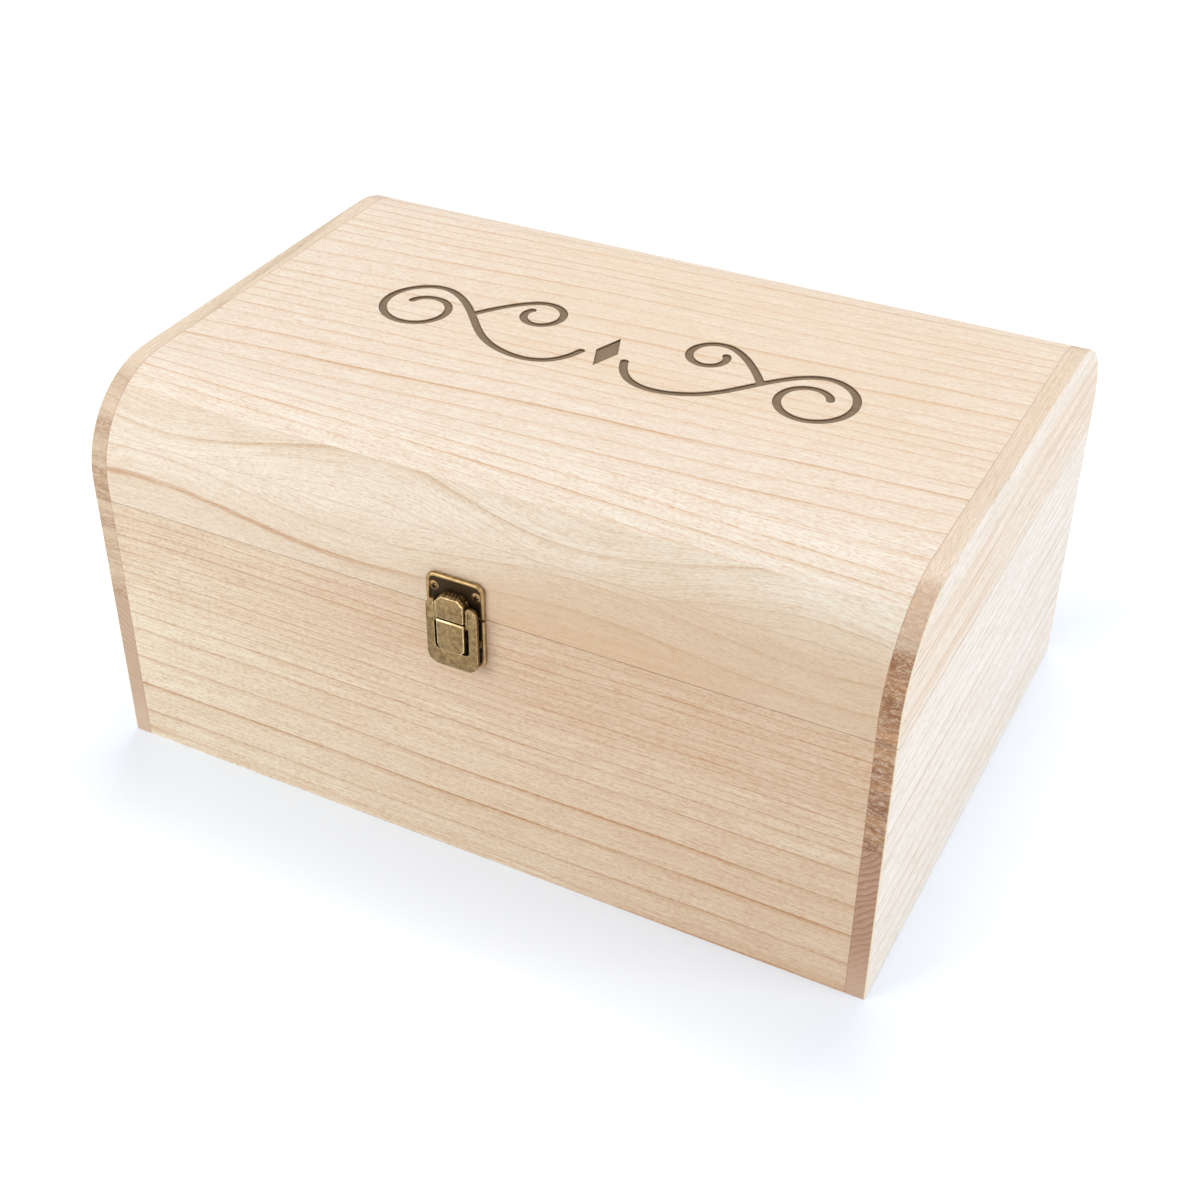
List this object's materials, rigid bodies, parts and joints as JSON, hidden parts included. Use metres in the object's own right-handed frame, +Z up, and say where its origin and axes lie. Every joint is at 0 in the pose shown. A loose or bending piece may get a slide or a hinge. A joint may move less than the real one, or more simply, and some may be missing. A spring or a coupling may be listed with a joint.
{
  "type": "keepsake box",
  "caption": "Pale wooden box with a hinged lid, rounded front and back shoulders, an engraved scroll on top and a small antique-brass lever latch.",
  "frame": {"origin": "middle of the flat underside, on the surface the box stands on", "axes": "+X along the box to the right as seen from the front, +Y to the back, +Z up; the front with its latch faces -Y"},
  "size_m": [0.35, 0.263, 0.176],
  "materials": {
    "long_board_wood": "bare, fine-sanded, straight grain along the box",
    "top_board_wood": "bare, fine-sanded, with a brown engraved scroll",
    "end_board_wood": "bare, fine-sanded, grain from front to back",
    "bottom_wood": "bare, sanded",
    "latch_brass": "antique brass, dark in the recesses and bright on worn edges",
    "hinge_brass": "antique brass",
    "screw_brass": "antique brass"
  },
  "bodies": {
    "base": {"base_front_panel": "long_board_wood", "base_back_panel": "long_board_wood", "base_left_end": "end_board_wood", "base_right_end": "end_board_wood", "bottom_board": "bottom_wood", "latch_plate": "latch_brass", "latch_screws": "screw_brass", "latch_pivot_pins": "screw_brass", "hinge_left_base_leaf": "hinge_brass", "hinge_left_pin": "screw_brass", "hinge_left_base_screws": "screw_brass", "hinge_right_base_leaf": "hinge_brass", "hinge_right_pin": "screw_brass", "hinge_right_base_screws": "screw_brass"},
    "lid": {"lid_front_rail": "long_board_wood", "lid_back_rail": "long_board_wood", "lid_top_board": "top_board_wood", "lid_left_end": "end_board_wood", "lid_right_end": "end_board_wood", "strike_plate": "latch_brass", "strike_screws": "screw_brass", "hinge_left_lid_leaf": "hinge_brass", "hinge_left_lid_screws": "screw_brass", "hinge_right_lid_leaf": "hinge_brass", "hinge_right_lid_screws": "screw_brass"},
    "latch_lever": {"latch_ring": "latch_brass", "latch_tongue": "latch_brass"}
  },
  "joints": [
    {"name": "lid_hinge", "type": "hinge", "parent": "base", "child": "lid", "pos_m": [0, 0.1273, 0.125], "axis": [-1, 0, 0], "range_deg": [0, 95]},
    {"name": "latch_pivot", "type": "hinge", "parent": "base", "child": "latch_lever", "pos_m": [0, -0.1286, 0.129], "axis": [-1, 0, 0], "range_deg": [0, 120]}
  ]
}
